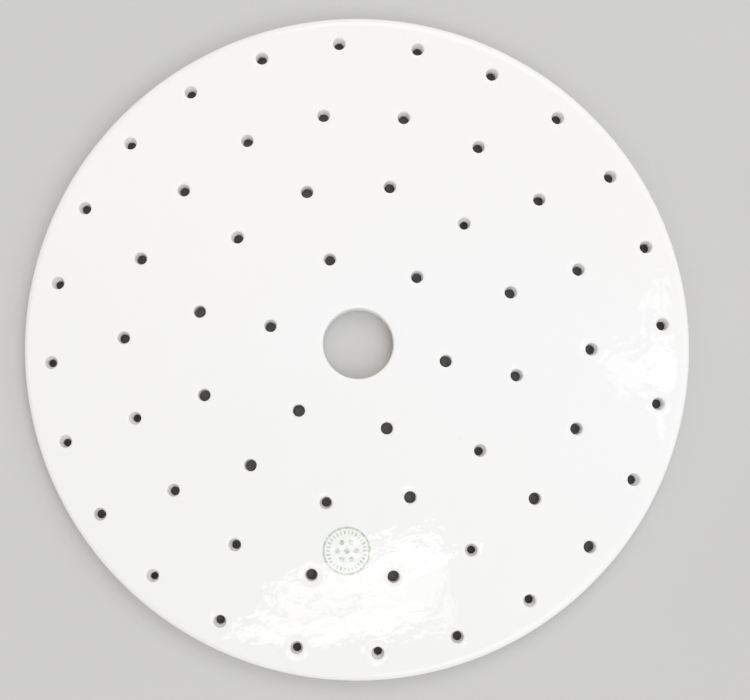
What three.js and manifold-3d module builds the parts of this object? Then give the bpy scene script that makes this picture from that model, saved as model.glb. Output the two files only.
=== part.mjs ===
// A perforated porcelain plate, of the kind that stands on the ledge inside a laboratory desiccator.
// It is one pressed and fired disc, with a large centre hole, rings of small round holes, a rounded
// rim and a flat underside that it rests on.
//
// Millimetres, +Z up. The origin is the centre of the underside, and +X points at a hole of the
// innermost ring.

import * as THREE from 'three';
import { mergeVertices } from 'three/addons/utils/BufferGeometryUtils.js';
import Module from 'manifold-3d';

// The disc.
const PLATE_DIAMETER = 190;
const PLATE_THICKNESS = 6.5;
const TOP_EDGE_RADIUS = 2;
const BOTTOM_EDGE_RADIUS = 0.8;

// The centre hole, and the flare of its mouth.
const CENTRE_HOLE_DIAMETER = 20;
const CENTRE_FLARE = 0.6;

// The small holes. Ring n has n times as many of them as ring 1.
const SMALL_HOLE_DIAMETER = 3.3;
const SMALL_FLARE = 0.45;
const RING_COUNT = 4;
const HOLES_IN_FIRST_RING = 6;
const FIRST_RING_RADIUS = 25.5;
const RING_SPACING = 20.6;
const STAGGERED_RING = 3; // the one ring that is turned by half the angle between its holes

// How finely round shapes are divided.
const PLATE_SIDES = 96;
const CENTRE_HOLE_SIDES = 40;
const SMALL_HOLE_SIDES = 12;
const TOP_EDGE_STEPS = 3;
const BOTTOM_EDGE_STEPS = 2;

// How far a cutter passes beyond the faces that it cuts.
const CUTTER_OVERRUN = 2;

const GLAZED_PORCELAIN = {
  name: 'glazed_porcelain',
  color: new THREE.Color(0.91, 0.905, 0.88),
  roughness: 0.12,
  metalness: 0,
};

const QUARTER_TURN = Math.PI / 2;

const wasm = await Module();
wasm.setup();

// A closed three.js geometry as a solid that can be cut. Triangles that have shrunk to a line where
// a turned profile meets its axis are left out.
function toSolid(geometry) {
  geometry.deleteAttribute('normal');
  geometry.deleteAttribute('uv');
  const merged = mergeVertices(geometry);
  const corners = merged.index.array;
  const kept = [];
  for (let i = 0; i < corners.length; i += 3) {
    const [a, b, c] = corners.slice(i, i + 3);
    if (a !== b && b !== c && c !== a) {
      kept.push(a, b, c);
    }
  }
  return new wasm.Manifold(new wasm.Mesh({
    numProp: 3,
    vertProperties: new Float32Array(merged.attributes.position.array),
    triVerts: new Uint32Array(kept),
  }));
}

function toGeometry(solid) {
  const mesh = solid.getMesh();
  const geometry = new THREE.BufferGeometry();
  geometry.setAttribute('position', new THREE.BufferAttribute(mesh.vertProperties, 3));
  geometry.setIndex(new THREE.BufferAttribute(mesh.triVerts, 1));
  geometry.computeVertexNormals();
  return geometry;
}

// Turns a profile of [radius, height] points about the Z axis.
function turned(profile, sides) {
  const points = profile.map(([radius, height]) => new THREE.Vector2(radius, height));
  return new THREE.LatheGeometry(points, sides).rotateX(QUARTER_TURN);
}

// Points of a quarter circle in a profile, from one angle through a quarter turn.
function quarterRound(centreRadius, centreHeight, roundRadius, startAngle, steps) {
  const points = [];
  for (let step = 0; step <= steps; step += 1) {
    const angle = startAngle + (QUARTER_TURN * step) / steps;
    points.push([
      centreRadius + roundRadius * Math.cos(angle),
      centreHeight + roundRadius * Math.sin(angle),
    ]);
  }
  return points;
}

// The disc before it is pierced, with its rim rounded more at the top than at the bottom.
function plateBlank() {
  const radius = PLATE_DIAMETER / 2;
  const bottomEdge = quarterRound(
    radius - BOTTOM_EDGE_RADIUS,
    BOTTOM_EDGE_RADIUS,
    BOTTOM_EDGE_RADIUS,
    -QUARTER_TURN,
    BOTTOM_EDGE_STEPS,
  );
  const topEdge = quarterRound(
    radius - TOP_EDGE_RADIUS,
    PLATE_THICKNESS - TOP_EDGE_RADIUS,
    TOP_EDGE_RADIUS,
    0,
    TOP_EDGE_STEPS,
  );
  const profile = [[0, 0], ...bottomEdge, ...topEdge, [0, PLATE_THICKNESS]];
  return toSolid(turned(profile, PLATE_SIDES));
}

// A cutter for one hole on the Z axis, flared where it comes out through the top face.
function holeCutter(diameter, flare, sides) {
  const radius = diameter / 2;
  const top = PLATE_THICKNESS + CUTTER_OVERRUN;
  const profile = [
    [0, -CUTTER_OVERRUN],
    [radius, -CUTTER_OVERRUN],
    [radius, PLATE_THICKNESS - flare],
    [radius + flare, PLATE_THICKNESS],
    [radius + flare, top],
    [0, top],
  ];
  return toSolid(turned(profile, sides));
}

// Where the centres of one ring's holes are, counting rings from 1 at the centre.
function ringCentres(ring) {
  const count = HOLES_IN_FIRST_RING * ring;
  const step = (2 * Math.PI) / count;
  const start = ring === STAGGERED_RING ? step / 2 : 0;
  const radius = FIRST_RING_RADIUS + RING_SPACING * (ring - 1);
  return Array.from({ length: count }, (_, i) => {
    const angle = start + i * step;
    return [radius * Math.cos(angle), radius * Math.sin(angle)];
  });
}

function piercedPlate() {
  const smallCutter = holeCutter(SMALL_HOLE_DIAMETER, SMALL_FLARE, SMALL_HOLE_SIDES);
  let plate = plateBlank().subtract(
    holeCutter(CENTRE_HOLE_DIAMETER, CENTRE_FLARE, CENTRE_HOLE_SIDES),
  );
  for (let ring = 1; ring <= RING_COUNT; ring += 1) {
    for (const [x, y] of ringCentres(ring)) {
      plate = plate.subtract(smallCutter.translate([x, y, 0]));
    }
  }
  return plate;
}

const plate = new THREE.Mesh(
  toGeometry(piercedPlate()),
  new THREE.MeshStandardMaterial(GLAZED_PORCELAIN),
);
plate.name = 'desiccator_plate';

const object = new THREE.Group();
object.add(plate);

export default object;
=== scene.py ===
"""A glazed porcelain desiccator plate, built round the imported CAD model.

The real plate is one fired piece, so it is one closed mesh here. Glaze covers the top, the rim and the
walls of the holes, and ends in a low wavy bead. Below the bead and underneath, the fired body is bare.
Lengths are in metres, and MM turns millimetres into metres.
"""

import math
import random

import bmesh
import bpy
from mathutils import Matrix, Vector, noise
from mathutils.geometry import delaunay_2d_cdt


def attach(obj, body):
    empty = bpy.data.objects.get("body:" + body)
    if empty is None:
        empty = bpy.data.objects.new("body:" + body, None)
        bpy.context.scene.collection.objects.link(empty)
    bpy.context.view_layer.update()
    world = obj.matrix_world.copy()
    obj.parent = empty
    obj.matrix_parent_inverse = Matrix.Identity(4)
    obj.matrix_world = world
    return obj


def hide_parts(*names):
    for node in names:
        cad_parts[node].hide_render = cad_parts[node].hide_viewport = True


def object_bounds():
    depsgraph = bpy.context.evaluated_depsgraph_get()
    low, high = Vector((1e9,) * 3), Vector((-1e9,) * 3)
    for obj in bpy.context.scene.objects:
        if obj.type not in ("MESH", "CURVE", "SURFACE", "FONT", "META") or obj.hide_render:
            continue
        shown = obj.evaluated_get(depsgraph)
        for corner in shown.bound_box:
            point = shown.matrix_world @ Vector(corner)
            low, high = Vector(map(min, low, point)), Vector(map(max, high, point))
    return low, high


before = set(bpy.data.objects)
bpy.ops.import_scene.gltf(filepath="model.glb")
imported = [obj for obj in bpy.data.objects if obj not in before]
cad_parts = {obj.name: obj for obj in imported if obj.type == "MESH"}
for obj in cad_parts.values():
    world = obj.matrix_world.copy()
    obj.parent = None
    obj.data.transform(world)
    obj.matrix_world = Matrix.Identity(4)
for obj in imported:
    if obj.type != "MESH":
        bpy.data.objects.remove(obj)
CAD_LOW, CAD_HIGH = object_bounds()

MM = 0.001
NODE = "desiccator_plate"
PLATE_RADIUS = CAD_HIGH.x
PLATE_TOP = CAD_HIGH.z

# The holes, laid out as in the CAD model. Ring n has n times as many small holes as ring 1.
CENTRE_HOLE_RADIUS = 10 * MM
SMALL_HOLE_RADIUS = 1.65 * MM
RING_COUNT = 4
HOLES_IN_FIRST_RING = 6
FIRST_RING_RADIUS = 25.5 * MM
RING_SPACING = 20.6 * MM
STAGGERED_RING = 3

# In the view, +X points right and +Y points up the picture. The plate lies turned by this much.
PLATE_TURN = math.radians(11.33)
VIEW = Matrix.Rotation(PLATE_TURN, 3, "Z")

# The rim is rounded by a soft curve, wide across the top and shorter down the side. It is set in a
# little, so that the glaze's end stands out to the full radius.
RIM_ROUND_ACROSS = 2.5 * MM
RIM_ROUND_DOWN = 1.9 * MM
RIM_ROUND_POWER = 2.2
RIM_SET_IN = 0.05 * MM
UNDERSIDE_EDGE_RADIUS = 0.8 * MM

# The glaze stops this far above the underside, and its edge wanders up and down. It ends in a bead,
# given as pairs: the height above that line, and how far it is set in from the plate's radius.
GLAZE_LINE = 1.3 * MM
GLAZE_LINE_WANDER = 0.3 * MM
GLAZE_THICKNESS = 0.16 * MM
GLAZE_END = (
    (1.9 * MM, 0.03 * MM),
    (0.9 * MM, RIM_SET_IN),
    (0.45 * MM, 0.0),
    (0.12 * MM, 0.03 * MM),
)

# An edge that wanders follows noise along a circle of this radius, so more is busier. The rim and the
# centre hole each follow noise of their own.
WANDER_CIRCLE = 1.6
RIM_SEED = 3.0
CENTRE_HOLE_SEED = 1.0

# The fired surface rises and falls slowly: each pair is the size of the swells and their full depth.
# The swells fade out this far down an edge.
RIPPLES = (
    (26 * MM, 0.060 * MM),
    (11 * MM, 0.050 * MM),
    (5 * MM, 0.040 * MM),
)
RIPPLE_FADE_DEPTH = 2 * MM

# Round each hole the glaze draws back from the edge. It sinks over the shoulder, and outside that it
# stands up in a faint bead.
CENTRE_HOLE_SHOULDER = 2.4 * MM
SMALL_HOLE_SHOULDER = 1.55 * MM
SHOULDER_SLOPE = 0.05
BEAD_HEIGHT = 0.007 * MM
BEAD_WIDTH = 0.4 * MM
BEAD_REACH = 1.2 * BEAD_WIDTH

# Inside the shoulder is a rounded lip, which is deeper than it is wide. It starts on the shoulder's
# slope. Below it the wall flares a little towards the mouth.
CENTRE_HOLE_LIP = 0.5 * MM
SMALL_HOLE_LIP = 0.45 * MM
LIP_DROP = 1.8
LIP_START_DEGREES = 6
MOUTH_FLARE = 0.08 * MM
FLARE_DEPTH = 3.5 * MM

# Glaze ran into the holes and set there as a collar, this far below the top. It leans to one side by
# a share of its thickness.
COLLAR_DEPTH = 4.4 * MM
COLLAR_LEAN = 0.35
CENTRE_HOLE_COLLAR = 0.06 * MM

# A small hole's collar is given as a lowest and a highest thickness. The usual one is thicker in the
# outer ring, where the glaze drained to. Holes that differ are listed by ring, as degrees round the
# plate from +X.
USUAL_COLLAR = (0.25 * MM, 0.38 * MM)
OUTER_RING_COLLAR = (0.36 * MM, 0.5 * MM)
THIN_COLLAR = (0.0, 0.14 * MM)
THICK_COLLAR = (0.5 * MM, 0.62 * MM)
THIN_COLLAR_HOLES = {
    1: (0, 240, 300),
    2: (120, 180, 210, 240, 300),
    3: (270, 290, 330),
    4: (330,),
}
THICK_COLLAR_HOLES = {2: (60, 330), 3: (210, 310), 4: (210, 240, 315)}

# The plate drained towards this side, so the collars there are up to this much thicker.
DRAINED_WAY = VIEW @ Vector((-0.8, -0.6, 0.0))
DRAINED_REACH = 0.65 * PLATE_RADIUS
DRAINED_COLLAR = 0.15 * MM

# The glaze stops this far above the underside in a hole too. The bare wall below is set back behind
# it, and ends in a rounded edge.
HOLE_GLAZE_LINE = 0.9 * MM
HOLE_GLAZE_WANDER = 0.18 * MM
HOLE_BARE_TOP = 0.62 * MM
HOLE_BARE_WANDER = 0.12 * MM
HOLE_BARE_SET_BACK = 0.12 * MM
HOLE_UNDERSIDE_EDGE = 0.3 * MM

# How finely the mesh is divided.
RIM_SIDES = 384
CENTRE_HOLE_SIDES = 128
SMALL_HOLE_SIDES = 32
RIM_STEPS = 12
SHOULDER_STEPS = 9
LIP_STEPS = 6
WALL_STEPS = 11
TOP_GRID = 1.6 * MM
UNDERSIDE_GRID = 4.5 * MM

# The camera, in the view, from the middle of the plate's top.
CAMERA_PLACE = Vector((-2.2, -37.0, 426.9)) * MM
CAMERA_AIM = Vector((4.8, -1.9, 0.0)) * MM
CAMERA_LENS = 72.2
SENSOR_WIDTH = 36

# How the camera turns light into tone, as (light, tone) pairs: darker darks, and whites that roll off
# softly instead of clipping.
TONE_CURVE = ((0.0, 0.0), (0.1, 0.05), (0.25, 0.24), (0.5, 0.57), (0.93, 0.93), (1.06, 1.0))

# The places of the two materials in the plate's list, and the source of every random size.
GLAZE, BISCUIT = 0, 1
rng = random.Random(7)


# --- The mesh ------------------------------------------------------------------------------------

class Shell:
    """The points and faces of one closed surface, built ring by ring."""

    def __init__(self):
        self.points = []
        self.pool = []
        self.faces = []
        self.materials = []

    def add_point(self, point, pool=0.0):
        """pool says how thick the glaze has run there, from 0 to 1."""
        self.points.append(point)
        self.pool.append(pool)
        return len(self.points) - 1

    def add_ring(self, points, pool=0.0):
        return [self.add_point(point, pool) for point in points]

    def add_face(self, corners, material):
        self.faces.append(corners)
        self.materials.append(material)

    def bridge(self, first, second, material):
        """Joins two rings of the same length with quads."""
        count = len(first)
        for i in range(count):
            j = (i + 1) % count
            self.add_face((first[i], second[i], second[j], first[j]), material)

    def fill(self, outer, inner_rings, spacing, height, material):
        """Fills the space between a round outer ring and the round rings inside it with triangles.
        height(x, y) is the height of the points that are added between them."""
        borders = [outer] + inner_rings
        indices = [i for ring in borders for i in ring]
        flat = [Vector(self.points[i][:2]) for i in indices]
        edges = []
        for ring in borders:
            start = len(edges)
            edges += [(start + i, start + (i + 1) % len(ring)) for i in range(len(ring))]
        holes = [self.circle_of(ring) for ring in inner_rings]
        outer_radius = self.circle_of(outer)[1]
        clearance = 0.6 * spacing
        for x, y in hexagonal_grid(outer_radius - clearance, spacing):
            if all(math.hypot(x - c.x, y - c.y) > r + clearance for c, r, _ in holes):
                indices.append(self.add_point((x, y, height(x, y))))
                flat.append(Vector((x, y)))
        corners, _, triangles, origins, _, _ = delaunay_2d_cdt(flat, edges, [], 0, 1e-7)
        for triangle in triangles:
            middle = (corners[triangle[0]] + corners[triangle[1]] + corners[triangle[2]]) / 3
            if all((middle - c).length > apothem for c, _, apothem in holes):
                self.add_face([indices[origins[i][0]] for i in triangle], material)

    def circle_of(self, ring):
        """Centre, radius to the corners and radius to the sides of a round ring."""
        corners = [Vector(self.points[i][:2]) for i in ring]
        centre = sum(corners, Vector((0, 0))) / len(ring)
        radius = (corners[0] - centre).length
        return centre, radius, radius * math.cos(math.pi / len(ring))

    def make_piece(self, name, materials):
        mesh = bpy.data.meshes.new(name)
        mesh.from_pydata(self.points, [], self.faces)
        for material in materials:
            mesh.materials.append(material)
        mesh.polygons.foreach_set("material_index", self.materials)
        mesh.attributes.new("pool", "FLOAT", "POINT").data.foreach_set("value", self.pool)
        turn_outward(mesh)
        mesh.shade_smooth()
        piece = bpy.data.objects.new(name, mesh)
        bpy.context.scene.collection.objects.link(piece)
        return piece


def hexagonal_grid(radius, spacing):
    """Points of an even grid of triangles inside a circle."""
    row_height = spacing * math.sqrt(3) / 2
    rows = int(radius / row_height)
    columns = int(radius / spacing) + 1
    for row in range(-rows, rows + 1):
        for column in range(-columns, columns + 1):
            x = (column + 0.5 * (row % 2)) * spacing
            y = row * row_height
            if math.hypot(x, y) < radius:
                yield x, y


def turn_outward(mesh):
    work = bmesh.new()
    work.from_mesh(mesh)
    bmesh.ops.recalc_face_normals(work, faces=work.faces)
    work.to_mesh(mesh)
    work.free()


def ripple(x, y):
    """How far the fired surface lies below the plate's highest level at a place on top."""
    total = 0.0
    for layer, (size, depth) in enumerate(RIPPLES):
        swell = noise.noise(Vector((x / size, y / size, 10.0 * layer)))
        total += depth * 0.5 * (1.0 - max(-1.0, min(1.0, swell)))
    return total


def top_height(x, y):
    return PLATE_TOP - ripple(x, y)


def below_top(x, y, depth):
    """The height of a point this far down an edge. The ripple of the top fades away down the edge."""
    fade = max(0.0, 1.0 - depth / RIPPLE_FADE_DEPTH)
    return PLATE_TOP - ripple(x, y) * fade - depth


def circle(centre, radius, sides, height):
    """Points round a circle. height(x, y, angle) gives each point's height."""
    points = []
    for i in range(sides):
        angle = 2 * math.pi * i / sides
        x = centre.x + radius * math.cos(angle)
        y = centre.y + radius * math.sin(angle)
        points.append((x, y, height(x, y, angle)))
    return points


def wander(angle, seed):
    """A smooth value from about -1 to 1 that comes back to itself once round a circle."""
    x = WANDER_CIRCLE * math.cos(angle)
    y = WANDER_CIRCLE * math.sin(angle)
    return 2 * noise.noise(Vector((x, y, seed)))


def hole_places():
    """(ring, degrees, centre) of each small hole, counting rings from 1."""
    for ring in range(1, RING_COUNT + 1):
        count = HOLES_IN_FIRST_RING * ring
        step = 360 / count
        start = step / 2 if ring == STAGGERED_RING else 0
        radius = FIRST_RING_RADIUS + RING_SPACING * (ring - 1)
        for i in range(count):
            degrees = start + i * step
            angle = math.radians(degrees)
            yield ring, degrees, Vector((radius * math.cos(angle), radius * math.sin(angle)))


def collar_of(ring, degrees, centre):
    """How far the set glaze stands out from the wall of a small hole."""
    limits = OUTER_RING_COLLAR if ring == RING_COUNT else USUAL_COLLAR
    if degrees in THIN_COLLAR_HOLES.get(ring, ()):
        limits = THIN_COLLAR
    if degrees in THICK_COLLAR_HOLES.get(ring, ()):
        limits = THICK_COLLAR
    drained = smooth(centre.dot(DRAINED_WAY.xy) / DRAINED_REACH)
    return rng.uniform(*limits) + DRAINED_COLLAR * drained


def smooth(share):
    """Eases from 0 to 1."""
    share = max(0.0, min(1.0, share))
    return share * share * (3 - 2 * share)


def shoulder_drop(shoulder):
    """How far the glaze has sunk where a shoulder of this width meets the lip."""
    return 0.5 * SHOULDER_SLOPE * shoulder


def shoulder_outline(radius, shoulder):
    """(radius, depth) of the glaze round a hole, from the level top to the start of the lip."""
    reach = shoulder + BEAD_REACH
    outline = []
    for step in range(SHOULDER_STEPS):
        out = reach * (1 - step / SHOULDER_STEPS)
        sunk = shoulder_drop(shoulder) * max(0.0, 1 - out / shoulder) ** 2
        bead = BEAD_HEIGHT * smooth(1 - abs(out - shoulder) / BEAD_WIDTH)
        outline.append((radius + out, sunk - bead))
    return outline


def lip_outline(radius, lip, depth):
    """(radius, depth) round the rounded edge of a hole, down to its wall. The edge is deeper than it
    is wide, like the mouth of a funnel."""
    drop = LIP_DROP * lip
    outline = []
    for step in range(LIP_STEPS + 1):
        angle = math.radians(LIP_START_DEGREES + step * (90 - LIP_START_DEGREES) / LIP_STEPS)
        outline.append((radius + lip * (1 - math.sin(angle)), depth + drop * (1 - math.cos(angle))))
    return outline


def foot_outline(radius, edge, height):
    """(radius, height) of the bare lower edge of a hole, down to the underside."""
    outline = [(radius, height), (radius, edge)]
    for degrees in (30, 60, 90):
        angle = math.radians(degrees)
        outline.append((radius + edge * (1 - math.cos(angle)), edge * (1 - math.sin(angle))))
    outline.append((radius + 2 * edge, 0.0))
    return outline


def mouth_rings(shell, centre, radius, sides, shoulder, lip):
    """The rings of points round the mouth of a hole, and the depth at which its wall starts."""
    shoulder_rows = shoulder_outline(radius + lip, shoulder)
    lip_rows = lip_outline(radius, lip, shoulder_drop(shoulder))
    rings = []
    for rows, pool in ((shoulder_rows, 0.0), (lip_rows, 0.5)):
        for ring_radius, depth in rows:
            points = circle(centre, ring_radius, sides, lambda x, y, a: below_top(x, y, depth))
            rings.append((shell.add_ring(points, pool), GLAZE))
    return rings, lip_rows[-1][1]


def wall_rings(shell, centre, radius, sides, start, collar, seed):
    """The rings of points down the glazed wall of a hole, from the depth where it starts."""
    end = PLATE_TOP - HOLE_GLAZE_LINE
    lean = Vector((math.cos(seed), math.sin(seed))) * collar * COLLAR_LEAN
    rings = []
    for step in range(1, WALL_STEPS + 1):
        depth = start + (end - start) * step / WALL_STEPS
        if depth < COLLAR_DEPTH:
            swell = smooth((depth - start) / (COLLAR_DEPTH - start))
        else:
            swell = smooth((end - depth) / (end - COLLAR_DEPTH))
        bend = HOLE_GLAZE_WANDER * step / WALL_STEPS
        flare = MOUTH_FLARE * (1 - smooth((depth - start) / FLARE_DEPTH))
        points = circle(
            centre + lean * swell,
            radius + flare - collar * swell,
            sides,
            lambda x, y, a: PLATE_TOP - depth + bend * wander(a, seed),
        )
        rings.append((shell.add_ring(points, 1.0), GLAZE))
    return rings


def foot_rings(shell, centre, radius, sides, seed):
    """The rings of points down the bare lower end of a hole, out to the underside."""
    rings = []
    bend = HOLE_BARE_WANDER
    rows = foot_outline(radius + HOLE_BARE_SET_BACK, HOLE_UNDERSIDE_EDGE, HOLE_BARE_TOP)
    for foot_radius, height in rows:
        points = circle(centre, foot_radius, sides, lambda x, y, a: height + bend * wander(a, seed))
        rings.append((shell.add_ring(points), BISCUIT))
        bend = 0.0
    return rings


def hole_rings(shell, centre, radius, sides, shoulder, lip, collar, seed):
    """The rings of points down one hole, as (points, material below) pairs, from the level glaze
    round its mouth to the underside. shoulder is how far round the mouth the glaze sinks, lip is the
    radius of the rounded edge, and collar is how far the glaze stands out lower down."""
    rings, wall_start = mouth_rings(shell, centre, radius + MOUTH_FLARE, sides, shoulder, lip)
    rings += wall_rings(shell, centre, radius, sides, wall_start, collar, seed)
    rings += foot_rings(shell, centre, radius, sides, seed)
    return rings


def rim_round_rings(shell):
    """The rings of points round the glazed upper edge of the rim."""
    rings = []
    for step in range(RIM_STEPS + 1):
        angle = math.pi / 2 * step / RIM_STEPS
        across = math.sin(angle) ** (2 / RIM_ROUND_POWER)
        down = 1 - math.cos(angle) ** (2 / RIM_ROUND_POWER)
        radius = PLATE_RADIUS - RIM_SET_IN - RIM_ROUND_ACROSS * (1 - across)
        depth = RIM_ROUND_DOWN * down
        points = circle(Vector((0, 0)), radius, RIM_SIDES, lambda x, y, a: below_top(x, y, depth))
        rings.append((shell.add_ring(points, step / RIM_STEPS), GLAZE))
    return rings


def rim_glaze_end_rings(shell):
    """The rings of points down to the wavy end of the glaze, and the first one on the bare body."""
    rows = [(above, inward, GLAZE) for above, inward in GLAZE_END]
    rows.append((0.0, GLAZE_THICKNESS, BISCUIT))
    rings = []
    for above, inward, material in rows:
        points = circle(
            Vector((0, 0)),
            PLATE_RADIUS - inward,
            RIM_SIDES,
            lambda x, y, a: GLAZE_LINE + above + GLAZE_LINE_WANDER * wander(a, RIM_SEED),
        )
        rings.append((shell.add_ring(points, 1.0 if material == GLAZE else 0.0), material))
    return rings


def rim_foot_rings(shell):
    """The rings of points round the bare lower edge of the rim, in to the level underside."""
    bare = PLATE_RADIUS - GLAZE_THICKNESS
    edge = UNDERSIDE_EDGE_RADIUS
    rows = []
    for degrees in (0, 22.5, 45, 67.5, 90):
        angle = math.radians(degrees)
        rows.append((bare - edge * (1 - math.cos(angle)), edge * (1 - math.sin(angle))))
    rows.append((bare - 1.4 * edge, 0.0))
    rings = []
    for radius, height in rows:
        points = circle(Vector((0, 0)), radius, RIM_SIDES, lambda x, y, a: height)
        rings.append((shell.add_ring(points), BISCUIT))
    return rings


def rim_rings(shell):
    """The rings of points round the rim, as (points, material below) pairs, from the level top to
    the level underside."""
    return rim_round_rings(shell) + rim_glaze_end_rings(shell) + rim_foot_rings(shell)


def loft(shell, rings):
    for (first, material), (second, _) in zip(rings, rings[1:]):
        shell.bridge(first, second, material)


def build_plate(materials):
    shell = Shell()
    sides_of_plate = [rim_rings(shell)]
    sides_of_plate.append(hole_rings(
        shell,
        Vector((0, 0)),
        CENTRE_HOLE_RADIUS,
        CENTRE_HOLE_SIDES,
        shoulder=CENTRE_HOLE_SHOULDER,
        lip=CENTRE_HOLE_LIP,
        collar=CENTRE_HOLE_COLLAR,
        seed=CENTRE_HOLE_SEED,
    ))
    for ring, degrees, centre in hole_places():
        sides_of_plate.append(hole_rings(
            shell,
            centre,
            SMALL_HOLE_RADIUS,
            SMALL_HOLE_SIDES,
            shoulder=SMALL_HOLE_SHOULDER,
            lip=SMALL_HOLE_LIP,
            collar=collar_of(ring, degrees, centre),
            seed=rng.uniform(0, 20),
        ))
    for rings in sides_of_plate:
        loft(shell, rings)
    upper = [rings[0][0] for rings in sides_of_plate]
    lower = [rings[-1][0] for rings in sides_of_plate]
    shell.fill(upper[0], upper[1:], TOP_GRID, top_height, GLAZE)
    shell.fill(lower[0], lower[1:], UNDERSIDE_GRID, lambda x, y: 0.0, BISCUIT)
    return shell.make_piece("porcelain_plate", materials)


# --- Materials -----------------------------------------------------------------------------------

class Graph:
    """The nodes of a material or of the world. add and vector return the node that they add, and the
    other methods return what the last node puts out."""

    def __init__(self, owner, place):
        """place names the texture coordinate that the patterns follow."""
        owner.use_nodes = True
        self.tree = owner.node_tree
        self.tree.nodes.clear()
        self.place = self.add("ShaderNodeTexCoord").outputs[place]

    def add(self, kind, inputs=None, **settings):
        made = self.tree.nodes.new(kind)
        for name, value in settings.items():
            setattr(made, name, value)
        for name, value in (inputs or {}).items():
            if isinstance(value, bpy.types.NodeSocket):
                self.tree.links.new(value, made.inputs[name])
            else:
                made.inputs[name].default_value = value
        return made

    def math(self, operation, *values):
        return self.add("ShaderNodeMath", dict(enumerate(values)), operation=operation).outputs[0]

    def vector(self, operation, *values):
        return self.add("ShaderNodeVectorMath", dict(enumerate(values)), operation=operation)

    def noise(self, size, detail=2.0, roughness=0.5, place=None):
        """Noise with features of about this size in metres, from 0 to 1."""
        inputs = {
            "Vector": place or self.place,
            "Scale": 1 / size,
            "Detail": detail,
            "Roughness": roughness,
        }
        return self.add("ShaderNodeTexNoise", inputs).outputs["Fac"]

    def ramp(self, value, low, high, out_low=0.0, out_high=1.0):
        """Takes low to out_low and high to out_high, smoothly, and holds the ends."""
        inputs = {
            "Value": value,
            "From Min": low,
            "From Max": high,
            "To Min": out_low,
            "To Max": out_high,
        }
        return self.add(
            "ShaderNodeMapRange", inputs, interpolation_type="SMOOTHSTEP"
        ).outputs["Result"]

    def mix(self, share, first, second):
        """A colour between two colours. The node's colour sockets are 6 and 7, and 2 on the way out."""
        inputs = {0: share, 6: first, 7: second}
        return self.add("ShaderNodeMix", inputs, data_type="RGBA").outputs[2]

    def bump(self, height, depth, normal=None):
        """A surface normal for a height from 0 to 1 that stands for this depth in metres."""
        inputs = {"Height": height, "Strength": 1.0, "Distance": depth}
        if normal is not None:
            inputs["Normal"] = normal
        return self.add("ShaderNodeBump", inputs).outputs["Normal"]

    def specks(self, cell, radius, share):
        """A mask of round specks, one in some of the cells of a coarse grid."""
        cells = self.add("ShaderNodeTexVoronoi", {"Vector": self.place, "Scale": 1 / cell})
        chosen = self.math(
            "LESS_THAN",
            self.add("ShaderNodeSeparateColor", {0: cells.outputs["Color"]}).outputs[0],
            share,
        )
        spot = self.ramp(cells.outputs["Distance"], 0.6 * radius / cell, radius / cell, 1.0, 0.0)
        return self.math("MULTIPLY", chosen, spot)

    def finish(self, shader, output, inputs):
        """Sends a shader of one kind, with these inputs, to an output of another kind."""
        surface = self.add(shader, inputs).outputs[0]
        self.add(output, {"Surface": surface})


def finish_material(graph, inputs):
    graph.finish("ShaderNodeBsdfPrincipled", "ShaderNodeOutputMaterial", inputs)


# The printed mark, under the glaze: a plain ring, a circle of short ticks inside it, and a rosette.
MARK_PLACE = Vector((-3.2, -58.7)) * MM
MARK_RING_RADIUS = 6.5 * MM
MARK_LINE = 0.68 * MM
MARK_TICK_COUNT = 30
MARK_TICK_RING = 5.2 * MM
MARK_TICK_LENGTH = 1.1 * MM
MARK_TICK_WIDTH = 0.5 * MM
MARK_DOT_COUNT = 6
MARK_DOT_RING = 2.7 * MM
MARK_DOT_RADIUS = 0.78 * MM
MARK_CENTRE_RADIUS = 0.85 * MM
MARK_BLUR = 0.09 * MM
MARK_SMEAR_SIZE = 0.9 * MM
MARK_SMEAR = 0.16 * MM
MARK_MOTTLE_SIZE = 0.7 * MM
INK = (0.33, 0.42, 0.31, 1)
INK_STRENGTH = 0.92


def band(graph, distance, middle, half_width, blur=MARK_BLUR):
    """1 where distance is within half_width of middle, with a soft edge, and 0 elsewhere."""
    off = graph.math("ABSOLUTE", graph.math("SUBTRACT", distance, middle))
    return graph.ramp(off, half_width - blur, half_width + blur, 1.0, 0.0)


def flat_distance(graph, x, y):
    """The length of a flat vector."""
    flat = graph.add("ShaderNodeCombineXYZ", {0: x, 1: y}).outputs[0]
    return graph.vector("LENGTH", flat).outputs["Value"]


def fold(graph, distance, angle, count):
    """Folds count equal sectors onto one, and returns the places along it and across its middle."""
    sector = 2 * math.pi / count
    folded = graph.math("FLOORED_MODULO", graph.math("ADD", angle, sector / 2), sector)
    folded = graph.math("SUBTRACT", folded, sector / 2)
    along = graph.math("MULTIPLY", distance, graph.math("COSINE", folded))
    across = graph.math("MULTIPLY", distance, graph.math("SINE", folded))
    return along, across


def smeared_place(graph, centre):
    """The place measured from the mark's centre, pushed about a little, as ink runs while it fires."""
    waves = graph.add(
        "ShaderNodeTexNoise",
        {"Vector": graph.place, "Scale": 1 / MARK_SMEAR_SIZE, "Detail": 2.0},
    ).outputs["Color"]
    push = graph.vector("SCALE", graph.vector("SUBTRACT", waves, (0.5, 0.5, 0.5)).outputs[0])
    push.inputs["Scale"].default_value = MARK_SMEAR
    local = graph.vector("SUBTRACT", graph.place, centre).outputs[0]
    return graph.vector("ADD", local, push.outputs[0]).outputs[0]


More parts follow.
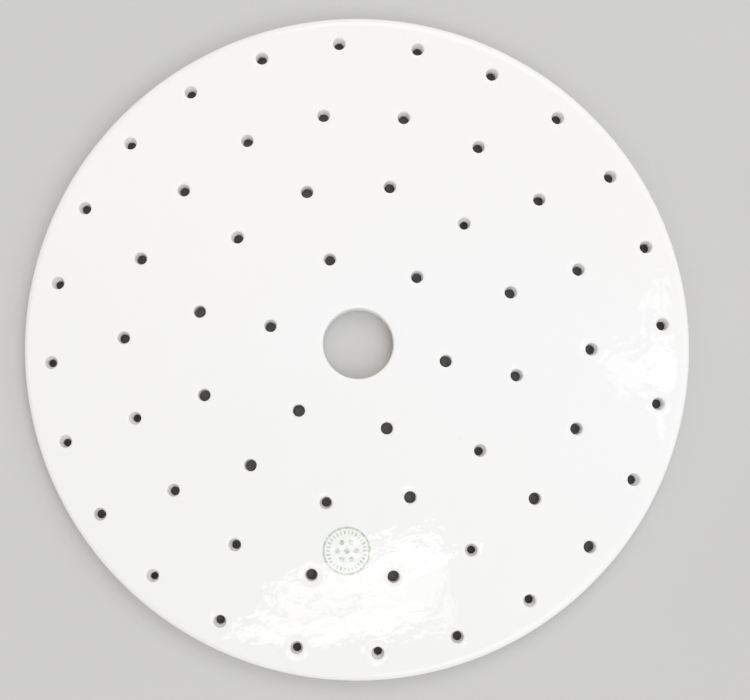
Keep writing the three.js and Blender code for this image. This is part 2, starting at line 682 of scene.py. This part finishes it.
def mark_shape(graph, x, y):
    """The mark's lines and dots, from 0 to 1."""
    distance = flat_distance(graph, x, y)
    angle = graph.math("SUBTRACT", graph.math("ARCTAN2", y, x), PLATE_TURN)
    ring = band(graph, distance, MARK_RING_RADIUS, MARK_LINE / 2)
    along, across = fold(graph, distance, angle, MARK_TICK_COUNT)
    ticks = graph.math(
        "MULTIPLY",
        band(graph, along, MARK_TICK_RING, MARK_TICK_LENGTH / 2),
        band(graph, across, 0.0, MARK_TICK_WIDTH / 2),
    )
    along, across = fold(graph, distance, angle, MARK_DOT_COUNT)
    from_dot = flat_distance(graph, graph.math("SUBTRACT", along, MARK_DOT_RING), across)
    dots = band(graph, from_dot, 0.0, MARK_DOT_RADIUS)
    centre_dot = band(graph, distance, 0.0, MARK_CENTRE_RADIUS)
    shape = ring
    for other in (ticks, dots, centre_dot):
        shape = graph.math("MAXIMUM", shape, other)
    return shape


def mark_mask(graph):
    """How much ink there is at each place on top, from 0 to 1."""
    centre = VIEW @ Vector((MARK_PLACE.x, MARK_PLACE.y, 0))
    local = smeared_place(graph, centre)
    x, y, z = graph.add("ShaderNodeSeparateXYZ", {0: local}).outputs
    shape = mark_shape(graph, x, y)
    mottle = graph.ramp(graph.noise(MARK_MOTTLE_SIZE, 3.0, 0.7), 0.35, 0.62, 0.35, 1.0)
    on_top = graph.math("GREATER_THAN", z, PLATE_TOP / 2)
    return graph.math("MULTIPLY", graph.math("MULTIPLY", shape, mottle), on_top)


# The glaze colour holds painted light and shade: painted cool light leaves it whitest off centre,
# painted warm light makes it creamier away from there, and painted shade greys one side of the edge.
# The glaze's own uneven clouds of tone blur these. The ranges are distances from the whitest place and
# along the way of the painted shade.
PAINTED_COOL_LIGHT_PLACE = VIEW @ Vector((30, -30, 0)) * MM
PAINTED_WARM_LIGHT_RANGE = (50 * MM, 95 * MM)
PAINTED_SHADE_WAY = VIEW @ Vector((-0.5, -0.87, 0))
PAINTED_SHADE_RANGE = (-20 * MM, 90 * MM)
CLOUD_SIZE = 34 * MM
CLOUD_REACH = 40 * MM
POOL_TINT = 0.7

# Streaks from when the glaze was wiped and ran lie along one way and are drawn out along it.
STREAKS_ALONG = VIEW @ Vector((0.97, 0.24, 0))
STREAKS_ACROSS = VIEW @ Vector((-0.24, 0.97, 0))
STREAK_SQUEEZE = 0.3
STREAK_SIZE = 4.0 * MM
STREAK_DEPTH = 0.020 * MM
PEEL_SIZE = 3.0 * MM
PEEL_DEPTH = 0.022 * MM
PINHOLE_DEPTH = 0.03 * MM


def glaze_colour(graph):
    painted_warm_light_tint = (0.905, 0.898, 0.868, 1)
    painted_cool_light_tint = (0.895, 0.900, 0.910, 1)
    painted_shade_tint = (0.855, 0.857, 0.832, 1)
    pooled = (0.915, 0.897, 0.900, 1)
    speck_colour = (0.56, 0.51, 0.42, 1)
    uneven = graph.math("SUBTRACT", graph.noise(CLOUD_SIZE, 3.0), 0.5)
    clouds = graph.math("MULTIPLY", uneven, CLOUD_REACH)
    from_painted_cool_light = graph.vector("DISTANCE", graph.place, PAINTED_COOL_LIGHT_PLACE).outputs["Value"]
    # Painted warm light: a cream tint away from the whiter, coolly lit place, its edge broken by the
    # glaze's own clouds.
    painted_warm_light_share = graph.ramp(graph.math("ADD", from_painted_cool_light, clouds), *PAINTED_WARM_LIGHT_RANGE)
    colour = graph.mix(painted_warm_light_share, painted_cool_light_tint, painted_warm_light_tint)
    along = graph.vector("DOT_PRODUCT", graph.place, PAINTED_SHADE_WAY).outputs["Value"]
    # Painted shade: one side of the edge greyer, as where less light falls, its edge broken by the
    # glaze's own clouds.
    painted_shade_share = graph.ramp(graph.math("ADD", along, clouds), *PAINTED_SHADE_RANGE)
    colour = graph.mix(painted_shade_share, colour, painted_shade_tint)
    pool = graph.add("ShaderNodeAttribute", attribute_name="pool").outputs["Fac"]
    colour = graph.mix(graph.math("MULTIPLY", pool, POOL_TINT), colour, pooled)
    colour = graph.mix(graph.math("MULTIPLY", mark_mask(graph), INK_STRENGTH), colour, INK)
    specks = graph.specks(cell=11 * MM, radius=0.16 * MM, share=0.10)
    return graph.mix(specks, colour, speck_colour)


def glaze_roughness(graph):
    """Nearly mirror smooth, with faint smudges and grain."""
    smudges = graph.ramp(graph.noise(34 * MM, 4.0, 0.6), 0.45, 0.75, 0.0, 0.03)
    grain = graph.ramp(graph.noise(0.5 * MM, 2.0), 0.3, 0.7, 0.0, 0.012)
    return graph.math("ADD", graph.math("ADD", smudges, grain), 0.02)


def glaze_normal(graph):
    """Faint streaks, a finer unevenness over them, and pinholes."""
    along = graph.vector("DOT_PRODUCT", graph.place, STREAKS_ALONG).outputs["Value"]
    across = graph.vector("DOT_PRODUCT", graph.place, STREAKS_ACROSS).outputs["Value"]
    drawn_out = graph.math("MULTIPLY", along, STREAK_SQUEEZE)
    squeezed = graph.add("ShaderNodeCombineXYZ", {0: drawn_out, 1: across}).outputs[0]
    streaks = graph.bump(graph.noise(STREAK_SIZE, 2.0, 0.5, squeezed), STREAK_DEPTH)
    peel = graph.bump(graph.noise(PEEL_SIZE, 2.5), PEEL_DEPTH, streaks)
    specks = graph.specks(cell=17 * MM, radius=0.14 * MM, share=0.16)
    return graph.bump(graph.math("SUBTRACT", 1.0, specks), PINHOLE_DEPTH, peel)


def make_glaze():
    material = bpy.data.materials.new("porcelain_glaze")
    graph = Graph(material, "Object")
    finish_material(graph, {
        "Base Color": glaze_colour(graph),
        "Roughness": glaze_roughness(graph),
        "Normal": glaze_normal(graph),
        "IOR": 1.52,
        "Subsurface Weight": 0.25,
        "Subsurface Radius": (1.0, 0.9, 0.78),
        "Subsurface Scale": 1.5 * MM,
    })
    return material


# Where the underside is rubbed by the ledge of a desiccator: a ring that wobbles.
LEDGE_RADIUS = 91.5 * MM
LEDGE_HALF_WIDTH = 1.6 * MM
LEDGE_BLUR = 0.9 * MM
LEDGE_WOBBLE = 3 * MM
LEDGE_STRENGTH = 0.55
SCUFF_STRENGTH = 0.7


def biscuit_scuffs(graph):
    """Patches of fine grey scuffs, from 0 to 1."""
    patches = graph.ramp(graph.noise(16 * MM, 5.0, 0.7), 0.56, 0.74)
    marks = graph.ramp(graph.noise(0.8 * MM, 3.0, 0.7), 0.45, 0.65)
    return graph.math("MULTIPLY", graph.math("MULTIPLY", patches, marks), SCUFF_STRENGTH)


def biscuit_rubbed_ring(graph):
    """A broken ring, rubbed into the body where it sits on the ledge of a desiccator."""
    x, y, _ = graph.add("ShaderNodeSeparateXYZ", {0: graph.place}).outputs
    wobble = graph.math("MULTIPLY", graph.noise(20 * MM, 2.0), LEDGE_WOBBLE)
    from_axis = graph.math("ADD", flat_distance(graph, x, y), wobble)
    ledge = band(graph, from_axis, LEDGE_RADIUS, LEDGE_HALF_WIDTH, LEDGE_BLUR)
    broken = graph.ramp(graph.noise(1.1 * MM, 4.0, 0.7), 0.45, 0.7)
    return graph.math("MULTIPLY", graph.math("MULTIPLY", ledge, broken), LEDGE_STRENGTH)


def biscuit_colour(graph):
    body = (0.80, 0.775, 0.725, 1)
    toned = (0.74, 0.725, 0.69, 1)
    scuffed = (0.56, 0.55, 0.53, 1)
    grit = (0.42, 0.36, 0.28, 1)
    colour = graph.mix(graph.ramp(graph.noise(28 * MM, 4.0, 0.6), 0.35, 0.65), body, toned)
    colour = graph.mix(biscuit_scuffs(graph), colour, scuffed)
    colour = graph.mix(biscuit_rubbed_ring(graph), colour, scuffed)
    grain = graph.ramp(graph.noise(0.5 * MM, 3.0, 0.7), 0.25, 0.6, 0.35, 0.0)
    colour = graph.mix(grain, colour, toned)
    colour = graph.mix(graph.specks(cell=4 * MM, radius=0.17 * MM, share=0.22), colour, grit)
    return graph.mix(graph.specks(cell=1.7 * MM, radius=0.09 * MM, share=0.3), colour, grit)


def make_biscuit():
    material = bpy.data.materials.new("porcelain_biscuit")
    graph = Graph(material, "Object")
    coarse = graph.bump(graph.noise(2.2 * MM, 3.0, 0.6), 0.03 * MM)
    finish_material(graph, {
        "Base Color": biscuit_colour(graph),
        "Roughness": graph.ramp(graph.noise(3 * MM, 4.0), 0.3, 0.7, 0.68, 0.86),
        "Normal": graph.bump(graph.noise(0.28 * MM, 3.0, 0.7), 0.035 * MM, coarse),
        "IOR": 1.5,
    })
    return material


def make_floor_material():
    material = bpy.data.materials.new("studio_paper")
    graph = Graph(material, "Object")
    light = (0.53, 0.53, 0.527, 1)
    dark = (0.505, 0.505, 0.50, 1)
    colour = graph.mix(graph.noise(90 * MM, 3.0), light, dark)
    fibres = graph.bump(graph.noise(1.1 * MM, 4.0, 0.7), 0.05 * MM)
    finish_material(graph, {"Base Color": colour, "Roughness": 0.75, "Normal": fibres})
    return material


# --- The studio ----------------------------------------------------------------------------------

# Lengths of the studio are in plain metres.
FLOOR_REACH = 25.0

# The sky's tones change over these ranges: sideways overhead, round the horizon, and upwards.
OVERHEAD_CHANGE = (-0.16, 0.20)
HORIZON_CHANGE = (-0.7, 0.7)
UPWARD_CHANGE = (0.0, 0.5)

WARM = (1.0, 0.955, 0.88)
NEUTRAL = (1.0, 0.985, 0.96)
COOL = (0.93, 0.965, 1.0)
WINDOW_HEIGHT = 1.3


def make_floor():
    half = FLOOR_REACH
    mesh = bpy.data.meshes.new("studio_floor")
    corners = [(-half, -half, 0), (half, -half, 0), (half, half, 0), (-half, half, 0)]
    mesh.from_pydata(corners, [], [(0, 1, 2, 3)])
    mesh.materials.append(make_floor_material())
    floor = bpy.data.objects.new("studio_floor", mesh)
    bpy.context.scene.collection.objects.link(floor)


def make_world():
    """Soft light from above, brighter towards the right, which falls off towards the horizon. The
    horizon is brighter towards the back right."""
    dim_horizon = (0.32, 0.32, 0.315, 1)
    bright_horizon = (0.74, 0.74, 0.735, 1)
    dim_side = (0.55, 0.54, 0.52, 1)
    bright_side = (0.985, 0.995, 1.015, 1)
    bright_way = VIEW @ Vector((0.87, -0.5, 0))
    bright_horizon_way = VIEW @ Vector((0.4, 0.92, 0))

    world = bpy.data.worlds.new("studio_air")
    graph = Graph(world, "Generated")
    sideways = graph.vector("DOT_PRODUCT", graph.place, bright_way).outputs["Value"]
    overhead = graph.mix(graph.ramp(sideways, *OVERHEAD_CHANGE), dim_side, bright_side)
    round_horizon = graph.vector("DOT_PRODUCT", graph.place, bright_horizon_way).outputs["Value"]
    horizon = graph.mix(graph.ramp(round_horizon, *HORIZON_CHANGE), dim_horizon, bright_horizon)
    height = graph.add("ShaderNodeSeparateXYZ", {0: graph.place}).outputs["Z"]
    sky = graph.mix(graph.ramp(height, *UPWARD_CHANGE), horizon, overhead)
    graph.finish("ShaderNodeBackground", "ShaderNodeOutputWorld", {"Color": sky})
    bpy.context.scene.world = world


def look_from(place, target):
    """Where something stands and how it is turned, to look from place to target with +Y of the view
    upwards."""
    back = (place - target).normalized()
    right = (VIEW @ Vector((0, 1, 0))).cross(back).normalized()
    up = back.cross(right)
    return Matrix.Translation(place) @ Matrix((right, up, back)).transposed().to_4x4()


def add_lamp(name, place, size, radiance, colour, turn=0.0, shape="ELLIPSE"):
    """A flat lamp that faces the plate. place is in the view, with +Y up the picture, in metres.
    radiance is how bright the lamp's face is, and turn is in degrees, about its own axis."""
    lamp = bpy.data.lights.new(name, "AREA")
    lamp.shape = shape
    lamp.size, lamp.size_y = size
    area = size[0] * size[1]
    if shape == "ELLIPSE":
        area *= math.pi / 4
    lamp.energy = math.pi * area * radiance
    lamp.color = colour
    holder = bpy.data.objects.new(name, lamp)
    facing_plate = look_from(VIEW @ Vector(place), Vector((0, 0, 0)))
    holder.matrix_world = facing_plate @ Matrix.Rotation(math.radians(turn), 4, "Z")
    bpy.context.scene.collection.objects.link(holder)


def make_lights():
    """A key light and two fills, and two narrow cards which the glaze mirrors in low views."""
    add_lamp("key_light", (0.30, 1.20, 1.58), (1.2, 1.2), 2.1, NEUTRAL)
    add_lamp("left_fill", (-1.13, -0.20, 0.96), (0.9, 0.9), 0.8, WARM, shape="RECTANGLE")
    add_lamp("front_fill", (0.51, -0.89, 1.23), (1.0, 1.0), 1.45, NEUTRAL)
    add_lamp("back_card", (-0.72, 1.13, 0.62), (0.36, 0.10), 1.3, NEUTRAL, 6, "RECTANGLE")
    add_lamp("right_card", (0.80, -1.19, 0.385), (0.34, 0.08), 1.1, NEUTRAL, -5, "RECTANGLE")


def add_window(name, place, size, radiance, colour, turn, shape="ELLIPSE"):
    add_lamp(name, (*place, WINDOW_HEIGHT), size, radiance, colour, turn, shape)


def make_windows():
    """Lit windows and lamps high above, which the glaze mirrors as bright patches near its edge."""
    add_window("window_1", (0.007, -0.152), (0.204, 0.040), 3.9, NEUTRAL, 18)
    add_window("window_2", (-0.036, -0.212), (0.230, 0.034), 3.9, NEUTRAL, 9)
    add_window("window_3", (0.058, -0.162), (0.088, 0.094), 2.5, NEUTRAL, 8, "RECTANGLE")
    add_window("window_4", (0.358, 0.080), (0.056, 0.060), 4.6, COOL, 25)
    add_window("window_5", (0.352, 0.152), (0.022, 0.080), 2.5, COOL, -8)
    add_window("window_6", (0.312, 0.082), (0.034, 0.052), 2.2, COOL, 30)
    add_window("window_7", (0.362, 0.012), (0.024, 0.050), 2.8, COOL, 0)


def make_camera():
    data = bpy.data.cameras.new("camera")
    data.sensor_width = SENSOR_WIDTH
    data.lens = CAMERA_LENS
    data.clip_start = 10 * MM
    camera = bpy.data.objects.new("camera", data)
    above = Vector((0, 0, PLATE_TOP))
    camera.matrix_world = look_from(VIEW @ CAMERA_PLACE + above, VIEW @ CAMERA_AIM + above)
    bpy.context.scene.collection.objects.link(camera)
    bpy.context.scene.camera = camera


def set_tones():
    view = bpy.context.scene.view_settings
    view.view_transform = "Standard"
    view.use_curve_mapping = True
    brightest = TONE_CURVE[-1][0]
    mapping = view.curve_mapping
    mapping.white_level = (brightest, brightest, brightest)
    curve = mapping.curves[3]
    for light, tone in TONE_CURVE[1:-1]:
        curve.points.new(light / brightest, tone)
    mapping.update()


set_tones()
make_camera()
make_world()
make_lights()
make_windows()
make_floor()

plate = build_plate([make_glaze(), make_biscuit()])
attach(plate, "root")
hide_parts(NODE)
